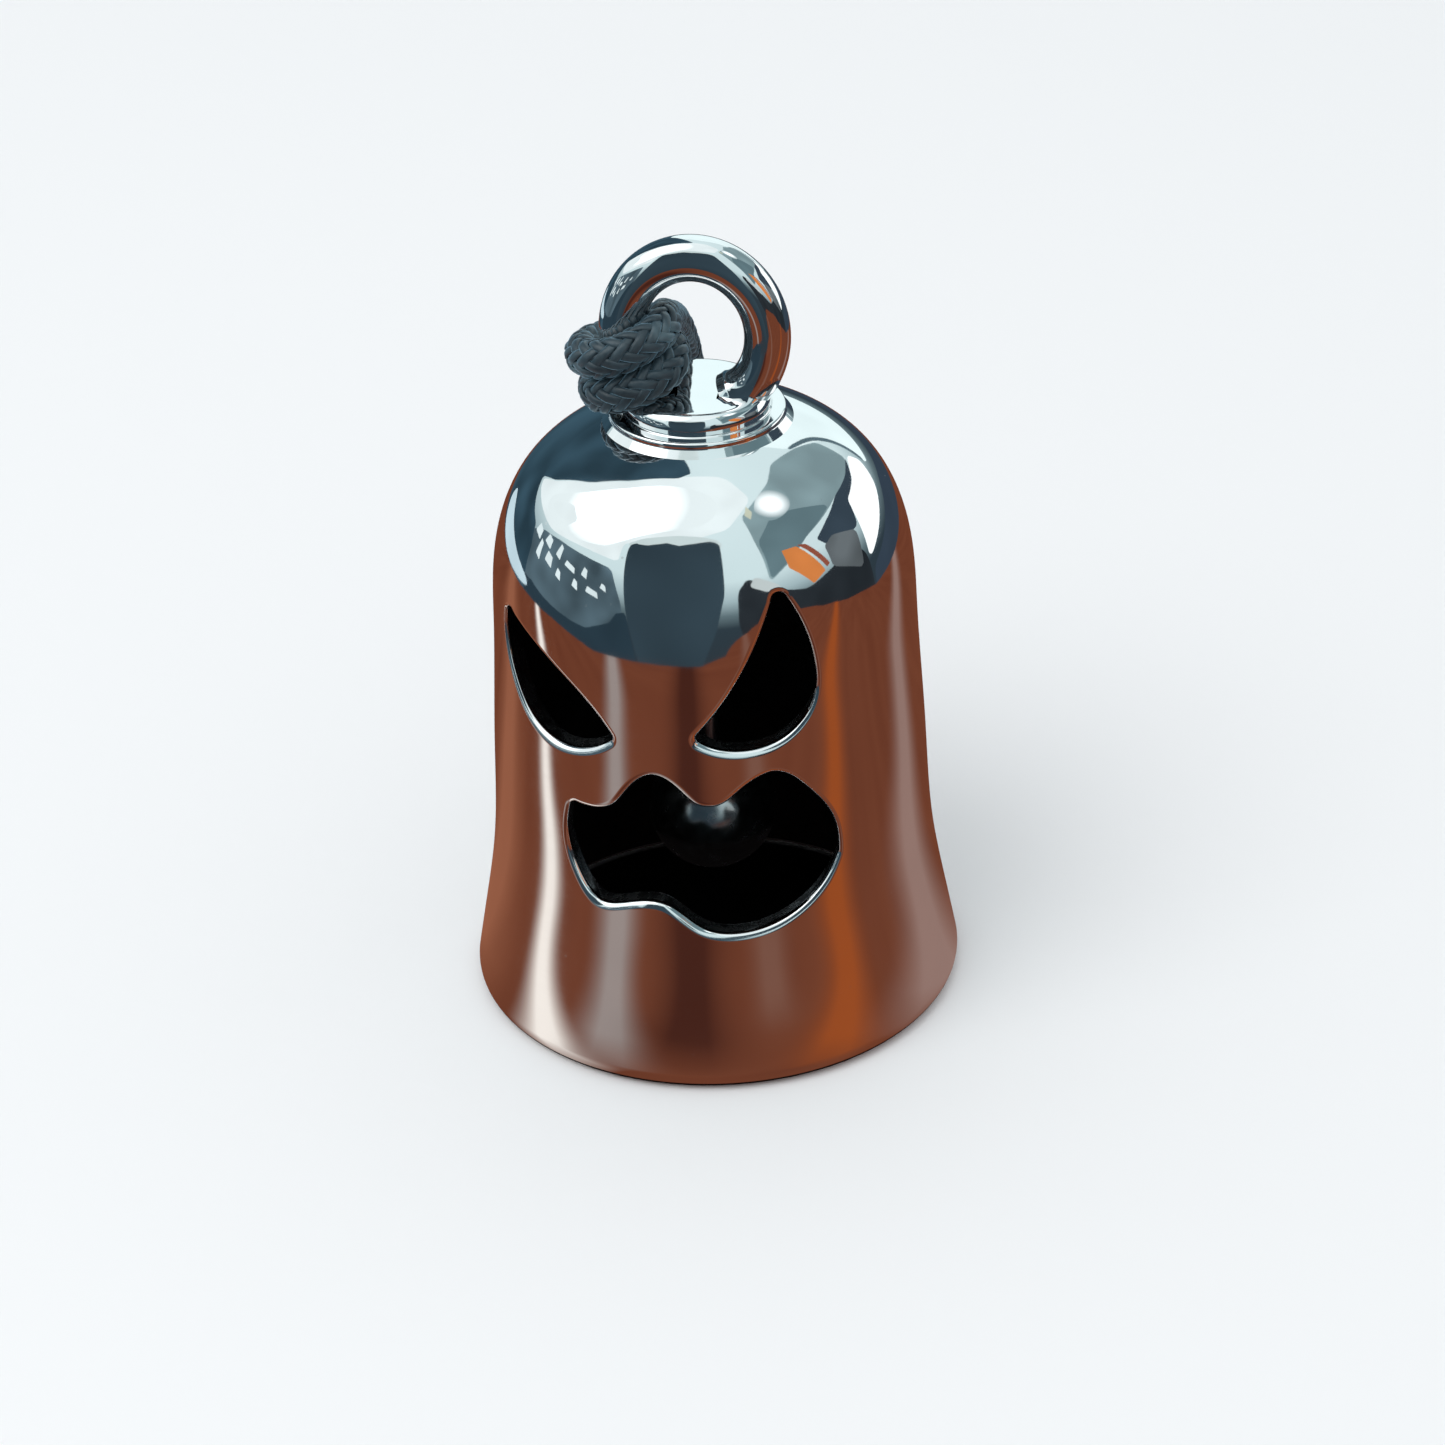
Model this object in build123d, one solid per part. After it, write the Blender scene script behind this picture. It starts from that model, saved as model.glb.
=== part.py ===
from build123d import *
import math
import os

os.makedirs("parts", exist_ok=True)

# A small polished hanging bell with a cut-out face, mm.
# The rim stands on Z = 0, the bell's axis is Z, and the face looks along -Y.

# Bell wall, as (radius, height) on its outside, from the lip up to the top.
OUTSIDE = [
    (13.0, 1.0),
    (12.48, 3.8),
    (11.78, 8.0),
    (11.38, 14.5),
    (11.0, 21.5),
    (10.62, 26.0),
    (9.1, 29.55),
    (6.4, 31.8),
]
DOME_TOP = 33.4
WALL = 1.4
LIP_FOOT_RADIUS = 12.25
LIP_ROUNDING_BULGE = (12.78, 0.22)
INNER_RIM_RADIUS = 11.55

# Face cut-outs, as (x, z) seen from the front, and the rounding of their sharp corners.
LEFT_EYE_LOWER_EDGE = [
    (-9.2, 24.35),
    (-9.25, 22.5),
    (-8.75, 20.6),
    (-7.75, 19.1),
    (-6.2, 18.42),
    (-4.7, 18.65),
    (-3.2, 19.6),
]
LEFT_EYE_BROW = [(-3.2, 19.6), (-4.3, 21.05), (-6.1, 22.55), (-9.2, 24.35)]
RIGHT_EYE_LOWER_EDGE = [
    (0.9, 20.0),
    (2.0, 19.42),
    (3.6, 19.2),
    (5.3, 19.65),
    (6.5, 21.0),
    (6.72, 23.2),
    (6.1, 25.7),
    (4.95, 27.7),
]
RIGHT_EYE_BROW = [(4.95, 27.7), (4.3, 25.6), (3.2, 23.2), (0.9, 20.0)]
MOUTH_UPPER_EDGE = [
    (-5.65, 15.3),
    (-3.3, 15.8),
    (-2.45, 16.9),
    (-1.15, 17.8),
    (0.1, 17.05),
    (1.1, 16.2),
    (1.95, 16.15),
    (3.1, 16.95),
    (4.75, 17.7),
    (6.3, 16.4),
    (7.45, 14.3),
    (7.7, 12.2),
]
MOUTH_LOWER_EDGE = [
    (7.7, 12.2),
    (6.6, 10.25),
    (4.8, 9.1),
    (2.9, 8.75),
    (1.1, 9.1),
    (-0.9, 10.45),
    (-2.6, 10.3),
    (-4.3, 10.0),
    (-5.4, 11.3),
    (-5.65, 15.3),
]
EYE_TIP_ROUNDING = 0.3
MOUTH_CORNER_ROUNDING = 0.35

# Stepped disc on the crown.
STEP_RADIUS = 4.5
STEP_TOP = 33.2
DISC_RADIUS = 3.75
DISC_TOP = 34.25
DISC_ROUNDING = 0.75
STEP_ROUNDING = 0.18

# Hanging ring, a slightly tall oval standing in the X-Z plane.
RING_HALF_WIDTH = 3.68
RING_HALF_HEIGHT = 4.08
RING_WIRE_RADIUS = 1.17
RING_CENTRE_Z = 37.17
RING_FOOT_ANGLE = 60.0

# Clapper: a staple under the dome, a link, a wire with an eye, and a ball.
STAPLE_WIRE_RADIUS = 0.5
STAPLE_BAR_Z = 29.0
STAPLE_HALF_WIDTH = 2.3
STAPLE_BEND_RADIUS = 0.9
LINK_WIRE_RADIUS = 0.45
LINK_RADIUS = 2.05
EYE_WIRE_RADIUS = 0.45
EYE_RADIUS = 1.75
RUNNING_GAP = 0.04
SHANK_RADIUS = 0.5
BALL_RADIUS = 3.4
BALL_CENTRE_Z = 9.5
SHANK_IN_BALL = 1.5

# Black braided cord, passed one and a half times round the ring's left leg.
CORD_RADIUS = 1.0
HITCH_TURN_HEIGHTS = (34.9, 36.8)
HITCH_TURN_TILTS = (22, 20)
HITCH_SEAM_ANGLE = 30
KNOT_START = (-7.0, 34.2, 3.2)
KNOT_LENGTH = 5.2
KNOT_RADIUS = 3.15
KNOT_ROUNDING = 1.0
TAIL_ROUTES = [
    [(-6.1, 38.4, 3.1), (-5.7, 40.8, 2.3), (-5.0, 43.0, 1.1), (-4.2, 44.8, 1.02)],
    [(-7.9, 38.4, 3.1), (-8.4, 40.6, 2.2), (-9.2, 42.6, 1.1), (-10.1, 44.2, 1.02)],
]
UPPER_STRAND_ROUTE = [
    (-1.75, 0.7, 37.5),
    (-1.9, 2.9, 36.7),
    (-2.0, 5.7, 35.0),
    (-2.1, 8.5, 32.4),
    (-2.2, 11.0, 28.8),
    (-2.3, 12.6, 23.6),
    (-2.4, 13.8, 17.6),
    (-2.5, 15.3, 11.2),
    (-2.6, 17.6, 5.6),
    (-2.8, 21.0, 1.9),
    (-3.4, 25.2, 1.02),
    (-4.4, 29.2, 1.15),
    (-5.2, 32.3, 2.2),
    (-6.0, 34.6, 3.2),
]
LOWER_STRAND_ROUTE = [
    (-4.93, -0.74, 34.14),
    (-5.35, 1.3, 34.0),
    (-4.8, 3.9, 33.6),
    (-4.3, 6.6, 32.5),
    (-4.35, 9.3, 30.1),
    (-4.45, 11.4, 26.0),
    (-4.55, 13.0, 20.6),
    (-4.65, 14.5, 14.2),
    (-4.9, 16.8, 7.6),
    (-5.4, 20.0, 2.6),
    (-6.2, 24.0, 1.02),
    (-6.9, 28.4, 1.15),
    (-7.5, 31.8, 2.2),
    (-8.0, 34.6, 3.2),
]


def save(node, solid):
    """Write one part under its own name."""
    export_step(solid, f"parts/{node}.step")


def turned(profile):
    """A solid turned about Z from a closed outline of edges drawn as (radius, height)."""
    return revolve(Plane.XZ * make_face(Curve() + profile), Axis.Z)


def dome_line(points, top):
    """Curve through the points, level where it meets the axis."""
    (r0, z0), (r1, z1) = points[:2]
    return Spline(*points, (0, top), tangents=[(r1 - r0, z1 - z0), (-1, 0)])


def inside_points():
    """The outside points moved one wall thickness inwards, square to the outside."""
    line = dome_line(OUTSIDE, DOME_TOP)
    moved = []
    for r, z in OUTSIDE[1:]:
        along = line.tangent_at(line.param_at_point(Vector(r, z)))
        moved.append((r - WALL * along.Y, z + WALL * along.X))
    return moved


def make_cavity():
    """The hollow of the bell as a solid, from the floor up."""
    points = [(INNER_RIM_RADIUS, 0.0)] + inside_points()
    top = DOME_TOP - WALL
    return turned([dome_line(points, top), Line((0, top), (0, 0)), Line((0, 0), points[0])])


def make_body():
    """The bell's outside as a solid, with no hollow."""
    lip = ThreePointArc((LIP_FOOT_RADIUS, 0), LIP_ROUNDING_BULGE, OUTSIDE[0])
    return turned(
        [
            lip,
            dome_line(OUTSIDE, DOME_TOP),
            Line((0, DOME_TOP), (0, 0)),
            Line((0, 0), (LIP_FOOT_RADIUS, 0)),
        ]
    )


def cutter(first_edge, second_edge, rounding):
    """A bar along -Y with the outline of one cut-out; its two corners are rounded."""
    outline = make_face(Curve() + [Spline(*first_edge), Spline(*second_edge)])
    outline = fillet(outline.vertices(), rounding)
    return extrude(Plane.XZ * outline, amount=LIP_FOOT_RADIUS + 5)


def make_shell(body, cavity):
    """The bell: a turned wall with two eyes and a mouth cut through its front."""
    shell = body - cavity
    shell -= cutter(LEFT_EYE_LOWER_EDGE, LEFT_EYE_BROW, EYE_TIP_ROUNDING)
    shell -= cutter(RIGHT_EYE_LOWER_EDGE, RIGHT_EYE_BROW, EYE_TIP_ROUNDING)
    shell -= cutter(MOUTH_UPPER_EDGE, MOUTH_LOWER_EDGE, MOUTH_CORNER_ROUNDING)
    return shell


def round_plate(radius, top, rounding):
    """A round plate starting inside the dome's wall, its upper edge rounded."""
    start = DOME_TOP - WALL
    plate = extrude(Plane.XY.offset(start) * Circle(radius), top - start)
    return fillet(plate.edges().group_by(Axis.Z)[-1], rounding)


def make_disc(body):
    """The stepped disc, its underside following the dome."""
    step = round_plate(STEP_RADIUS, STEP_TOP, STEP_ROUNDING)
    return step + round_plate(DISC_RADIUS, DISC_TOP, DISC_ROUNDING) - body


def wire(path, radius):
    """Round wire along a path that starts at its first point."""
    start = Plane(origin=path @ 0, z_dir=path % 0)
    return sweep(start * Circle(radius), path=path)


def make_ring(disc, body):
    """The oval hanging ring, its foot ending on the disc."""
    path = Edge.make_ellipse(
        RING_HALF_WIDTH,
        RING_HALF_HEIGHT,
        plane=Plane(origin=(0, 0, RING_CENTRE_Z), x_dir=(1, 0, 0), z_dir=(0, -1, 0)),
        start_angle=-RING_FOOT_ANGLE,
        end_angle=180 + RING_FOOT_ANGLE,
    )
    return wire(path, RING_WIRE_RADIUS) - disc - body


def make_staple(cavity):
    """A bent wire whose two legs end on the dome's inside."""
    path = FilletPolyline(
        (-STAPLE_HALF_WIDTH, 0, DOME_TOP),
        (-STAPLE_HALF_WIDTH, 0, STAPLE_BAR_Z),
        (STAPLE_HALF_WIDTH, 0, STAPLE_BAR_Z),
        (STAPLE_HALF_WIDTH, 0, DOME_TOP),
        radius=STAPLE_BEND_RADIUS,
    )
    return wire(path, STAPLE_WIRE_RADIUS) & cavity


def ring_leg_x(height):
    """X of the left leg's centre line at a height."""
    return -RING_HALF_WIDTH * math.sqrt(1 - ((height - RING_CENTRE_Z) / RING_HALF_HEIGHT) ** 2)


def make_hitch(ring, disc):
    """Two turns of cord round the ring's left leg, square to it, so higher inside the ring.

    Each turn's seam is spun away from the ring and the disc that it is cut by.
    """
    turn = Rot(0, 0, HITCH_SEAM_ANGLE) * Torus(RING_WIRE_RADIUS + CORD_RADIUS, CORD_RADIUS)
    low, high = [
        Pos(ring_leg_x(z), 0, z) * Rot(0, -tilt, 0) * turn
        for z, tilt in zip(HITCH_TURN_HEIGHTS, HITCH_TURN_TILTS)
    ]
    return low + high - ring - disc


def bend_radii(route):
    """The largest arc that fits at each inner point of a route."""
    points = [Vector(*p) for p in route]
    radii = []
    for a, b, c in zip(points, points[1:], points[2:]):
        before, after = b - a, c - b
        turn = math.radians(before.get_angle(after))
        radii.append(0.45 * min(before.length, after.length) / math.tan(turn / 2))
    return radii


def make_strand(name, route):
    """Cord laid along a route of straight runs and arcs; prints its length and radii."""
    radii = bend_radii(route)
    path = FilletPolyline(*route, radius=radii)
    tube = wire(path, CORD_RADIUS)
    expected = math.pi * CORD_RADIUS**2 * path.length
    print(name, "length", round(path.length, 1), "volume ratio", round(tube.volume / expected, 4))
    print(name, "radii", [round(r, 1) for r in radii])
    return tube


def make_knot():
    """The end knot as a plain barrel lying along Y, with the cord's two tails."""
    barrel = extrude(Plane(origin=KNOT_START, z_dir=(0, 1, 0)) * Circle(KNOT_RADIUS), KNOT_LENGTH)
    knot = fillet(barrel.edges().filter_by(GeomType.CIRCLE), KNOT_ROUNDING)
    for route in TAIL_ROUTES:
        knot += wire(FilletPolyline(*route, radius=bend_radii(route)), CORD_RADIUS)
    return knot


body = make_body()
cavity = make_cavity()
disc = make_disc(body)
ring = make_ring(disc, body)

link_centre_z = STAPLE_BAR_Z + STAPLE_WIRE_RADIUS + RUNNING_GAP - (LINK_RADIUS - LINK_WIRE_RADIUS)
link_bottom_z = link_centre_z - LINK_RADIUS
eye_centre_z = link_bottom_z + LINK_WIRE_RADIUS + RUNNING_GAP - (EYE_RADIUS - EYE_WIRE_RADIUS)
shank_bottom_z = BALL_CENTRE_Z + BALL_RADIUS - SHANK_IN_BALL

link = Pos(0, 0, link_centre_z) * Rot(0, 90, 0) * Torus(LINK_RADIUS, LINK_WIRE_RADIUS)
eye = Pos(0, 0, eye_centre_z) * Rot(90, 0, 0) * Torus(EYE_RADIUS, EYE_WIRE_RADIUS)
shank_length = eye_centre_z - EYE_RADIUS - shank_bottom_z
shank = extrude(Plane.XY.offset(shank_bottom_z) * Circle(SHANK_RADIUS), shank_length)
ball = Pos(0, 0, BALL_CENTRE_Z) * Sphere(BALL_RADIUS) - shank

save("bell_shell", make_shell(body, cavity))
save("crown_disc", disc)
save("hanger_ring", ring)
save("clapper_staple", make_staple(cavity))
save("clapper_link", link)
save("clapper_wire", eye + shank)
save("clapper_ball", ball)
save("cord_hitch", make_hitch(ring, disc))
save("cord_strand_upper", make_strand("upper strand", UPPER_STRAND_ROUTE))
save("cord_strand_lower", make_strand("lower strand", LOWER_STRAND_ROUTE))
save("cord_end_knot", make_knot())
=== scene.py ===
import math

import bpy
import numpy as np
from mathutils import Matrix, Vector
from mathutils.geometry import delaunay_2d_cdt


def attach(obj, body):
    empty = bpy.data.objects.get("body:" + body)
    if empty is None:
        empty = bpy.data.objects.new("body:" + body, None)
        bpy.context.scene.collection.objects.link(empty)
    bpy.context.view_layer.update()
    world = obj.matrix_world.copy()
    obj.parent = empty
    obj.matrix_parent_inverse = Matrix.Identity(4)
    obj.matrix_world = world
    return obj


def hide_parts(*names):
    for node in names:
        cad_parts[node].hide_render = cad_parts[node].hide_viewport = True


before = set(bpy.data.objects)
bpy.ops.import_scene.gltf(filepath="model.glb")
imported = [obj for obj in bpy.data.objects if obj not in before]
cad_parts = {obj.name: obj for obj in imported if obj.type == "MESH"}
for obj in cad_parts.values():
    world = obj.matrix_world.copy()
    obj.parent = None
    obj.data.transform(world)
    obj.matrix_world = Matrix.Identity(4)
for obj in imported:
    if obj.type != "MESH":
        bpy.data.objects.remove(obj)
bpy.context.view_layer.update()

# Lengths are in millimetres, and MM turns them into metres. The bell's axis is Z, its rim
# stands on Z = 0 and its face looks along -Y. Directions round the bell are given as a
# compass angle from -Y towards +X.
MM = 0.001
random = np.random.default_rng(7)

# The same driving dimensions as the CAD model.
OUTSIDE = [
    (13.0, 1.0), (12.48, 3.8), (11.78, 8.0), (11.38, 14.5),
    (11.0, 21.5), (10.62, 26.0), (9.1, 29.55), (6.4, 31.8),
]
DOME_TOP = 33.4
WALL = 1.4
LIP_FOOT_RADIUS = 12.25
LIP_ROUNDING_BULGE = (12.78, 0.22)
INNER_RIM_RADIUS = 11.55
INNER_RIM_ROUNDING = 0.15
LEFT_EYE = (
    [(-9.2, 24.35), (-9.25, 22.5), (-8.75, 20.6), (-7.75, 19.1), (-6.2, 18.42), (-4.7, 18.65), (-3.2, 19.6)],
    [(-3.2, 19.6), (-4.3, 21.05), (-6.1, 22.55), (-9.2, 24.35)],
)
RIGHT_EYE = (
    [(0.9, 20.0), (2.0, 19.42), (3.6, 19.2), (5.3, 19.65), (6.5, 21.0), (6.72, 23.2), (6.1, 25.7),
     (4.95, 27.7)],
    [(4.95, 27.7), (4.3, 25.6), (3.2, 23.2), (0.9, 20.0)],
)
MOUTH = (
    [(-5.65, 15.3), (-3.3, 15.8), (-2.45, 16.9), (-1.15, 17.8), (0.1, 17.05), (1.1, 16.2),
     (1.95, 16.15), (3.1, 16.95), (4.75, 17.7), (6.3, 16.4), (7.45, 14.3), (7.7, 12.2)],
    [(7.7, 12.2), (6.6, 10.25), (4.8, 9.1), (2.9, 8.75), (1.1, 9.1), (-0.9, 10.45), (-2.6, 10.3),
     (-4.3, 10.0), (-5.4, 11.3), (-5.65, 15.3)],
)
EYE_TIP_ROUNDING = 0.3
MOUTH_CORNER_ROUNDING = 0.35
EDGE_ROUNDING = 0.42
LONGEST_TANGENT = 0.45
STEP_RADIUS = 4.5
STEP_TOP = 33.2
DISC_RADIUS = 3.75
DISC_TOP = 34.25
DISC_ROUNDING = 0.75
STEP_ROUNDING = 0.18
STEP_FOOT = 32.9
DOME_FILLET_END = (5.1, 32.25)
CREASE_ROUNDING = 0.1
RING_HALF_WIDTH = 3.68
RING_HALF_HEIGHT = 4.08
RING_WIRE_RADIUS = 1.17
RING_CENTRE_Z = 37.17
RING_FOOT_ANGLE = 62.0

# The cord's route: two strands, and one and a half turns round the ring's left leg.
CORD_RADIUS = 1.0
HITCH_TURN_HEIGHTS = (34.9, 36.8)
HITCH_TURN_TILTS = (22, 20)
HITCH_START_ANGLE = -160.0
HITCH_END_ANGLE = 379.0
HITCH_CLIMB_START = 110
HITCH_CLIMB_LENGTH = 260
KNOT_START = (-7.0, 34.2, 3.2)
KNOT_LENGTH = 5.2
KNOT_RADIUS = 3.15
TAIL_ROUTES = [
    [(-6.1, 38.4, 3.1), (-5.7, 40.8, 2.3), (-5.0, 43.0, 1.1), (-4.2, 44.8, 1.02)],
    [(-7.9, 38.4, 3.1), (-8.4, 40.6, 2.2), (-9.2, 42.6, 1.1), (-10.1, 44.2, 1.02)],
]
UPPER_STRAND_ROUTE = [
    (-1.75, 0.7, 37.5), (-1.9, 2.9, 36.7), (-2.0, 5.7, 35.0), (-2.1, 8.5, 32.4), (-2.2, 11.0, 28.8),
    (-2.3, 12.6, 23.6), (-2.4, 13.8, 17.6), (-2.5, 15.3, 11.2), (-2.6, 17.6, 5.6), (-2.8, 21.0, 1.9),
    (-3.4, 25.2, 1.02), (-4.4, 29.2, 1.15), (-5.2, 32.3, 2.2), (-6.0, 34.6, 3.2),
]
LOWER_STRAND_ROUTE = [
    (-4.93, -0.74, 34.14), (-5.35, 1.3, 34.0), (-4.8, 3.9, 33.6), (-4.3, 6.6, 32.5), (-4.35, 9.3, 30.1),
    (-4.45, 11.4, 26.0), (-4.55, 13.0, 20.6), (-4.65, 14.5, 14.2), (-4.9, 16.8, 7.6), (-5.4, 20.0, 2.6),
    (-6.2, 24.0, 1.02), (-6.9, 28.4, 1.15), (-7.5, 31.8, 2.2), (-8.0, 34.6, 3.2),
]

# ---------------------------------------------------------------- camera

CAMERA_AZIMUTH = 9.1
CAMERA_ELEVATION = 30.65
CAMERA_ROLL = -2.13
CAMERA_DISTANCE = 210.0
AIM_RIGHT = 0.67
AIM_HEIGHT = 14.51
LENS = 99.0


def make_camera():
    azimuth, elevation, roll = (math.radians(a) for a in (CAMERA_AZIMUTH, CAMERA_ELEVATION, CAMERA_ROLL))
    back = Vector((
        math.sin(azimuth) * math.cos(elevation),
        -math.cos(azimuth) * math.cos(elevation),
        math.sin(elevation),
    ))
    right = Vector((math.cos(azimuth), math.sin(azimuth), 0))
    up = back.cross(right)
    aim = right * AIM_RIGHT + Vector((0, 0, AIM_HEIGHT))
    place = (aim + back * CAMERA_DISTANCE) * MM
    right, up = right * math.cos(roll) + up * math.sin(roll), up * math.cos(roll) - right * math.sin(roll)
    data = bpy.data.cameras.new("camera")
    data.lens = LENS
    data.sensor_width = 36
    data.clip_start = 0.01
    data.clip_end = 20
    camera = bpy.data.objects.new("camera", data)
    bpy.context.scene.collection.objects.link(camera)
    camera.matrix_world = Matrix((
        (right.x, up.x, back.x, place.x),
        (right.y, up.y, back.y, place.y),
        (right.z, up.z, back.z, place.z),
        (0, 0, 0, 1),
    ))
    bpy.context.scene.camera = camera


make_camera()

# ---------------------------------------------------------------- meshes


def unit(vectors):
    return vectors / np.linalg.norm(vectors, axis=-1, keepdims=True)


def link_mesh(name, points, faces, materials=(), normals=None, face_materials=None):
    """A smooth mesh from points in millimetres. Given normals are kept as the shading normals."""
    points = np.asarray(points, float)
    if normals is not None:
        normals = unit(np.asarray(normals, float))
        faces = [facing(face, points, normals) for face in faces]
    mesh = bpy.data.meshes.new(name)
    mesh.from_pydata((points * MM).tolist(), [], [list(map(int, face)) for face in faces])
    mesh.polygons.foreach_set("use_smooth", [True] * len(mesh.polygons))
    for material in materials:
        mesh.materials.append(material)
    if face_materials is not None:
        mesh.polygons.foreach_set("material_index", face_materials)
    mesh.update()
    if normals is not None:
        mesh.normals_split_custom_set_from_vertices(normals.tolist())
    piece = bpy.data.objects.new(name, mesh)
    bpy.context.scene.collection.objects.link(piece)
    return piece


def facing(face, points, normals):
    """The face wound so that it looks the way its vertices' normals do."""
    a, b, c = points[face[0]], points[face[1]], points[face[2]]
    d = points[face[-1]]
    across = np.cross(b - a, c - a) + np.cross(c - a, d - a)
    return face[::-1] if across @ normals[list(face)].sum(0) < 0 else face


def grid_faces(rows, columns, first=0):
    """Quads of a grid of rows x columns points, its columns closed into a ring."""
    faces = []
    for i in range(rows - 1):
        for j in range(columns):
            k = (j + 1) % columns
            here, above = first + i * columns, first + (i + 1) * columns
            faces.append((here + j, here + k, above + k, above + j))
    return faces


def evenly(points, step, closed=False):
    """Points at even spacing along a polyline."""
    points = np.asarray(points, float)
    if closed:
        points = np.vstack([points, points[:1]])
    lengths = np.linalg.norm(np.diff(points, axis=0), axis=1)
    along = np.append(0, np.cumsum(lengths))
    count = max(2, int(round(along[-1] / step)))
    places = np.linspace(0, along[-1], count + 1)
    if closed:
        places = places[:-1]
    return np.stack([np.interp(places, along, points[:, i]) for i in range(points.shape[1])], 1)


def spline_through(points, start=None, end=None, per_span=80):
    """A smooth curve through plane points, by distance between them, with end directions if given."""
    points = np.asarray(points, float)
    span = np.linalg.norm(np.diff(points, axis=0), axis=1)
    slope = np.diff(points, axis=0) / span[:, None]
    if start is None:
        start = slope[0] + (slope[0] - slope[1]) * span[0] / (span[0] + span[1])
    if end is None:
        end = slope[-1] + (slope[-1] - slope[-2]) * span[-1] / (span[-1] + span[-2])
    count = len(points)
    matrix = np.eye(count)
    target = np.zeros_like(points)
    target[0], target[-1] = start, end
    for i in range(1, count - 1):
        matrix[i, i - 1 : i + 2] = span[i], 2 * (span[i - 1] + span[i]), span[i - 1]
        target[i] = 3 * (span[i] * slope[i - 1] + span[i - 1] * slope[i])
    speed = np.linalg.solve(matrix, target)
    pieces = []
    for i, h in enumerate(span):
        t = np.linspace(0, 1, per_span, endpoint=False)[:, None]
        pieces.append(
            (1 + 2 * t) * (1 - t) ** 2 * points[i]
            + t * (1 - t) ** 2 * h * speed[i]
            + t**2 * (3 - 2 * t) * points[i + 1]
            + t**2 * (t - 1) * h * speed[i + 1]
        )
    return np.vstack([*pieces, points[-1:]])


def left_normals(line, closed=False):
    """Unit normals on the left of a plane line's direction of travel."""
    if closed:
        along = np.roll(line, -1, 0) - np.roll(line, 1, 0)
    else:
        along = np.gradient(line, axis=0)
    return unit(np.stack([-along[:, 1], along[:, 0]], 1))


def rounded_corner(before, corner, after, radius, steps=10):
    """Points and outward normals of the arc that rounds a corner of a (radius, height) outline."""
    before, corner, after = (np.asarray(p, float) for p in (before, corner, after))
    u, v = unit(before - corner), unit(after - corner)
    half = math.acos(np.clip(u @ v, -1, 1)) / 2
    centre = corner + unit(u + v) * radius / math.sin(half)
    reach = radius / math.tan(half)
    first, last = unit(corner + u * reach - centre), unit(corner + v * reach - centre)
    share = np.linspace(0, 1, steps + 1)[:, None]
    spokes = unit(first * (1 - share) + last * share)
    outward = 1 if u[0] * v[1] - u[1] * v[0] > 0 else -1
    return centre + spokes * radius, spokes * outward


def lathe(line, normals, columns):
    """A surface turned about Z. A first or last point on the axis becomes one vertex."""
    angle = np.linspace(-math.pi, math.pi, columns, endpoint=False)
    spin = np.stack([np.sin(angle), -np.cos(angle)], 1)
    points, directions, starts = [], [], []
    for (r, z), (nr, nz) in zip(line, normals):
        starts.append(len(points))
        if r < 1e-9:
            points.append((0, 0, z))
            directions.append((0, 0, nz))
            continue
        points.extend(np.column_stack([spin * r, np.full(columns, z)]))
        directions.extend(np.column_stack([spin * nr, np.full(columns, nz)]))
    faces = []
    for i in range(len(line) - 1):
        a, b = starts[i], starts[i + 1]
        for j in range(columns):
            k = (j + 1) % columns
            if line[i][0] < 1e-9:
                faces.append((a, b + j, b + k))
            elif line[i + 1][0] < 1e-9:
                faces.append((a + j, a + k, b))
            else:
                faces.append((a + j, a + k, b + k, b + j))
    return np.array(points), np.array(directions), faces, starts


# ---------------------------------------------------------------- cord


def nurbs_points(route):
    """Points along the smooth NURBS line that a cord's route steers, in millimetres."""
    curve = bpy.data.curves.new("route", "CURVE")
    curve.dimensions = "3D"
    spline = curve.splines.new("NURBS")
    spline.points.add(len(route) - 1)
    for point, place in zip(spline.points, route):
        point.co = (*(value * MM for value in place), 1)
    spline.order_u = 3
    spline.use_endpoint_u = True
    spline.resolution_u = 24
    holder = bpy.data.objects.new("route", curve)
    bpy.context.scene.collection.objects.link(holder)
    mesh = bpy.data.meshes.new_from_object(holder)
    line = np.array([vertex.co for vertex in mesh.vertices], float) / MM
    bpy.data.objects.remove(holder)
    bpy.data.curves.remove(curve)
    bpy.data.meshes.remove(mesh)
    return line


def ring_leg_x(height):
    """X of the left leg's centre line at a height."""
    return -RING_HALF_WIDTH * np.sqrt(1 - ((height - RING_CENTRE_Z) / RING_HALF_HEIGHT) ** 2)


def hitch_line():
    """The cord's centre line round the ring's left leg, from the lower strand to the upper one."""
    angle = np.radians(np.linspace(HITCH_START_ANGLE, HITCH_END_ANGLE, 240))
    climbed = np.degrees(angle) - HITCH_START_ANGLE - HITCH_CLIMB_START
    share = np.clip(climbed / HITCH_CLIMB_LENGTH, 0, 1)
    share = share * share * (3 - 2 * share)
    height = HITCH_TURN_HEIGHTS[0] * (1 - share) + HITCH_TURN_HEIGHTS[1] * share
    tilt = np.radians(HITCH_TURN_TILTS[0] * (1 - share) + HITCH_TURN_TILTS[1] * share)
    reach = RING_WIRE_RADIUS + CORD_RADIUS * 0.98
    right = reach * np.cos(angle)
    return np.stack(
        [ring_leg_x(height) + right * np.cos(tilt), reach * np.sin(angle), height + right * np.sin(tilt)], 1
    )


def frames_along(line):
    """Directions along a line, and two directions across it that don't twist."""
    ahead = unit(np.gradient(line, axis=0))
    side = np.zeros_like(line)
    start = np.cross(ahead[0], (0.3, 0.2, 1.0))
    side[0] = start / np.linalg.norm(start)
    for i in range(1, len(line)):
        carried = side[i - 1] - ahead[i] * (side[i - 1] @ ahead[i])
        side[i] = carried / np.linalg.norm(carried)
    return ahead, side, np.cross(ahead, side)


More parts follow.
